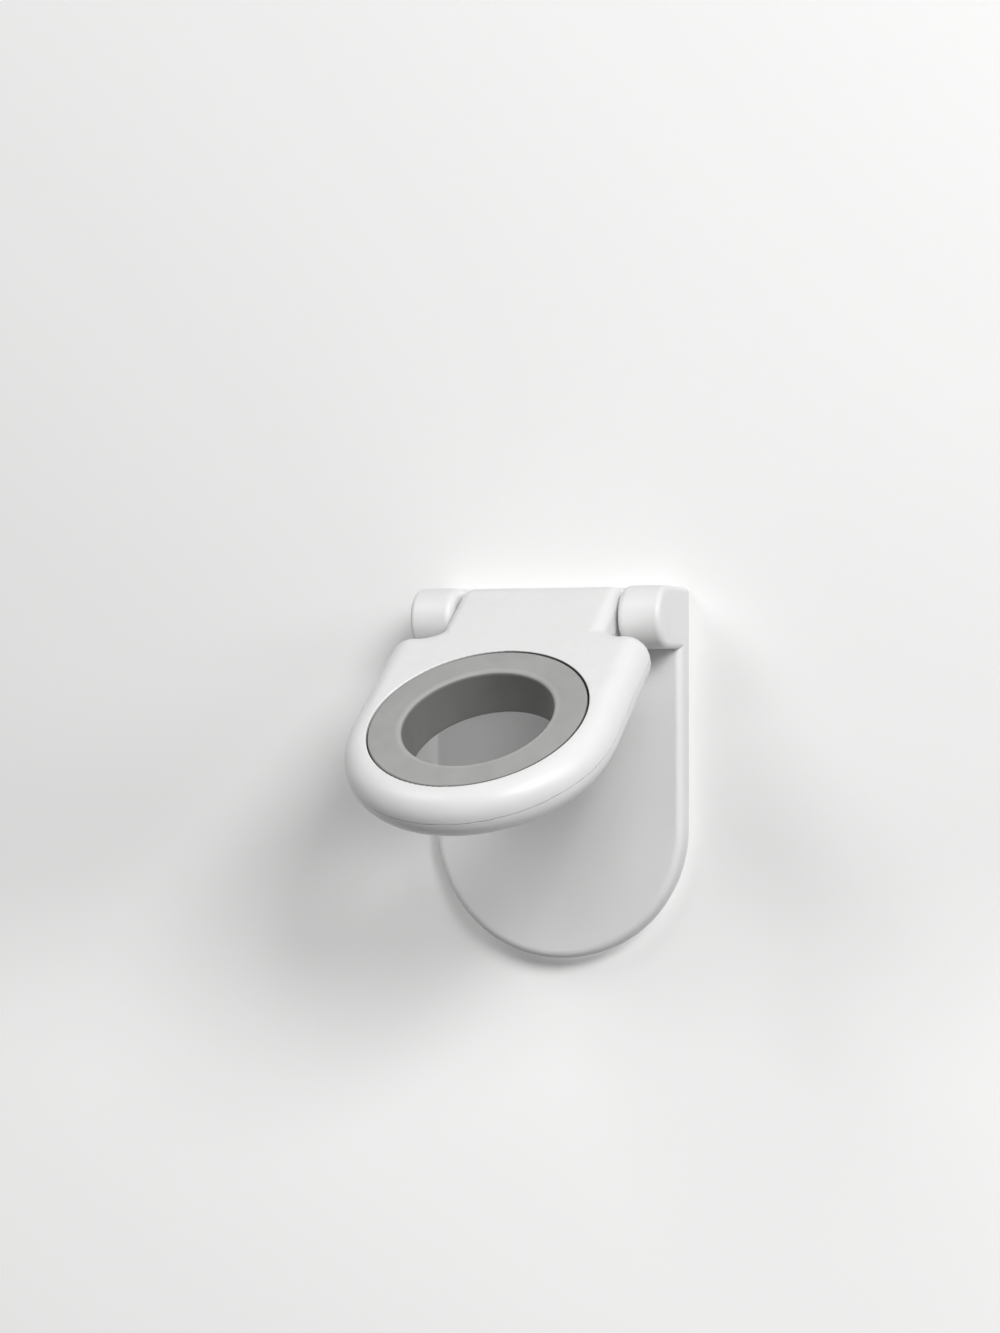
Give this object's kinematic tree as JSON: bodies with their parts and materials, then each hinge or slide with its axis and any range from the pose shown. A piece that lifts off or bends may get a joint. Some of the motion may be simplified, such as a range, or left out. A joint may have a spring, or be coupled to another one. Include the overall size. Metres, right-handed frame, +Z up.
{
  "type": "wall mop holder",
  "caption": "White wall-mounted mop holder: a stick-on plate carries a folding arm whose soft grey ring jams on a round pole as the arm tilts down.",
  "frame": {"origin": "centre of the adhesive face that sits on the wall, at half the plate's height", "axes": "+Z up, +Y into the wall, +X to the right as seen from the front"},
  "size_m": [0.061, 0.0786, 0.0844],
  "materials": {
    "white_plastic": "satin moulded",
    "grey_rubber": "matte soft",
    "pad_foam": "adhesive foam",
    "steel": "turned"
  },
  "bodies": {
    "wall_mount": {"wall_plate": "white_plastic", "adhesive_pad": "pad_foam", "hinge_pin": "steel"},
    "arm": {"arm_upper_shell": "white_plastic", "arm_lower_shell": "white_plastic", "grip_ring": "grey_rubber", "shell_screws": "steel"}
  },
  "joints": [
    {"name": "arm_fold", "type": "hinge", "parent": "wall_mount", "child": "arm", "pos_m": [0, -0.0146, 0.0352], "axis": [1, 0, 0], "range_deg": [-126.7, 53.3]}
  ]
}
